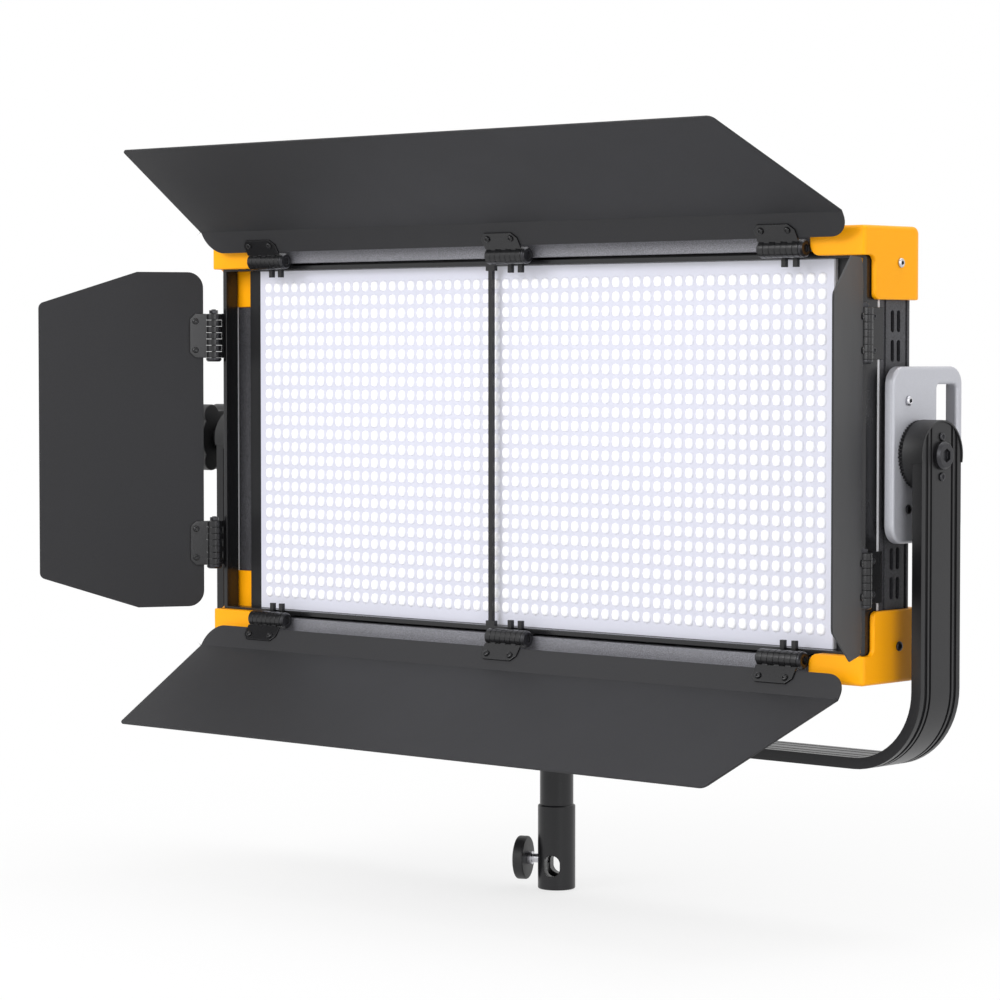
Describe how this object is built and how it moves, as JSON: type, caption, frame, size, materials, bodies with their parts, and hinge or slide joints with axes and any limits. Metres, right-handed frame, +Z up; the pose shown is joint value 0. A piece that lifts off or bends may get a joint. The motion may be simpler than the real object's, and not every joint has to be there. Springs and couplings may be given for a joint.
{
  "type": "led panel light",
  "caption": "Rectangular LED panel light with a dimpled lens, hinged barn doors, side handle plates and a tilting U yoke on a stand spigot.",
  "frame": {"origin": "centre of the stand socket's mouth, at the bottom of the spigot", "axes": "+Z up along the spigot; the light shines towards -Y; +X along the head's width"},
  "size_m": [0.887, 0.2736, 0.6328],
  "materials": {
    "yoke_black": "satin black powder coat",
    "housing_black": "fine-grained black anodised extrusion",
    "door_black": "matte black painted sheet",
    "hinge_black": "black oxide, semi-gloss",
    "cap_orange": "moulded yellow-orange plastic",
    "handle_grey": "silver-grey paint",
    "lens_white": "frosted white diffuser",
    "tray_white": "white reflective film",
    "board_white": "white solder mask",
    "chip_yellow": "phosphor",
    "aluminium": "bare aluminium",
    "screw_black": "black oxide",
    "screw_bright": "nickel plated",
    "knob_black": "textured black plastic",
    "panel_black": "textured black plastic",
    "display_glass": "smoked window",
    "button_grey": "soft grey plastic",
    "socket_metal": "nickel shell",
    "board_green": "circuit board"
  },
  "bodies": {
    "yoke": {"spigot_core": "yoke_black", "spigot_sleeve": "yoke_black", "spigot_bolt": "screw_bright", "yoke": "yoke_black", "yoke_hubs": "knob_black", "pivot_bolt_right": "screw_black"},
    "stand_lock": {"stand_lock_screw": "screw_bright", "stand_lock_knob": "knob_black"},
    "tilt_lock": {"tilt_knob": "knob_black", "tilt_knob_stud": "aluminium"},
    "head": {"top_rail": "housing_black", "bottom_rail": "housing_black", "side_profile_right": "housing_black", "side_profile_left": "housing_black", "corner_cap_top_right": "cap_orange", "corner_cap_top_left": "cap_orange", "corner_cap_bottom_right": "cap_orange", "corner_cap_bottom_left": "cap_orange", "housing_screws": "screw_bright", "barn_door_frame": "door_black", "lens_left": "lens_white", "lens_right": "lens_white", "lens_bezel": "housing_black", "light_tray": "tray_white", "led_boards": "board_white", "led_rows": "chip_yellow", "heat_spreader": "aluminium", "spacer_posts": "aluminium", "rear_cover": "housing_black", "heat_sinks": "housing_black", "control_box": "panel_black", "control_panel": "panel_black", "display_window": "display_glass", "driver_board": "board_green", "power_supply": "aluminium", "dial_encoders": "socket_metal", "power_rocker_frame": "knob_black", "power_inlet": "knob_black", "data_sockets": "socket_metal", "usb_socket": "socket_metal", "mounting_pads": "housing_black", "handle_plate_right": "handle_grey", "handle_plate_left": "handle_grey", "tooth_rings": "knob_black", "hinge_frame_plates": "hinge_black", "hinge_fasteners": "screw_black"},
    "door_top": {"door_leaf_top": "door_black", "leaf_hinges_top": "hinge_black"},
    "door_bottom": {"door_leaf_bottom": "door_black", "leaf_hinges_bottom": "hinge_black"},
    "door_right": {"door_leaf_right": "door_black", "leaf_hinges_right": "hinge_black"},
    "door_left": {"door_leaf_left": "door_black", "leaf_hinges_left": "hinge_black"},
    "dimmer": {"dimmer_dial": "knob_black"},
    "colour": {"colour_dial": "knob_black"},
    "button_1": {"menu_button_1": "button_grey"},
    "button_2": {"menu_button_2": "button_grey"},
    "button_3": {"menu_button_3": "button_grey"},
    "rocker": {"power_rocker": "knob_black"}
  },
  "joints": [
    {"name": "tilt", "type": "hinge", "parent": "yoke", "child": "head", "pos_m": [0, 0, 0.378], "axis": [-1, 0, 0], "range_deg": [-20, 90]},
    {"name": "tilt_lock_turn", "type": "hinge", "parent": "yoke", "child": "tilt_lock", "pos_m": [-0.42, 0, 0.378], "axis": [-1, 0, 0], "range_deg": [-360, 360]},
    {"name": "stand_lock_turn", "type": "hinge", "parent": "yoke", "child": "stand_lock", "pos_m": [-0.0273, -0.01244, 0.025], "axis": [-0.91, -0.4147, 0], "range_deg": [-360, 360]},
    {"name": "door_top_fold", "type": "hinge", "parent": "head", "child": "door_top", "pos_m": [0, -0.0622, 0.5378], "axis": [-1, 0, 0], "range_deg": [-116, 28]},
    {"name": "door_bottom_fold", "type": "hinge", "parent": "head", "child": "door_bottom", "pos_m": [0, -0.0622, 0.2182], "axis": [1, 0, 0], "range_deg": [-114.5, 32]},
    {"name": "door_right_fold", "type": "hinge", "parent": "head", "child": "door_right", "pos_m": [0.3648, -0.0582, 0.378], "axis": [0, 0, 1], "range_deg": [-118, 45]},
    {"name": "door_left_fold", "type": "hinge", "parent": "head", "child": "door_left", "pos_m": [-0.3648, -0.0582, 0.378], "axis": [0, 0, -1], "range_deg": [-118, 45]},
    {"name": "dimmer_turn", "type": "hinge", "parent": "head", "child": "dimmer", "pos_m": [-0.07, 0.0485, 0.386], "axis": [0, 1, 0], "continuous": true},
    {"name": "colour_turn", "type": "hinge", "parent": "head", "child": "colour", "pos_m": [0.07, 0.0485, 0.386], "axis": [0, 1, 0], "continuous": true},
    {"name": "rocker_switch", "type": "hinge", "parent": "head", "child": "rocker", "pos_m": [-0.078, 0.0495, 0.314], "axis": [1, 0, 0], "range_deg": [0, 10]},
    {"name": "button_1_press", "type": "slide", "parent": "head", "child": "button_1", "axis": [0, -1, 0], "range_m": [0, 0.0012], "stiffness_N_per_m": 600},
    {"name": "button_2_press", "type": "slide", "parent": "head", "child": "button_2", "axis": [0, -1, 0], "range_m": [0, 0.0012], "stiffness_N_per_m": 600},
    {"name": "button_3_press", "type": "slide", "parent": "head", "child": "button_3", "axis": [0, -1, 0], "range_m": [0, 0.0012], "stiffness_N_per_m": 600}
  ]
}
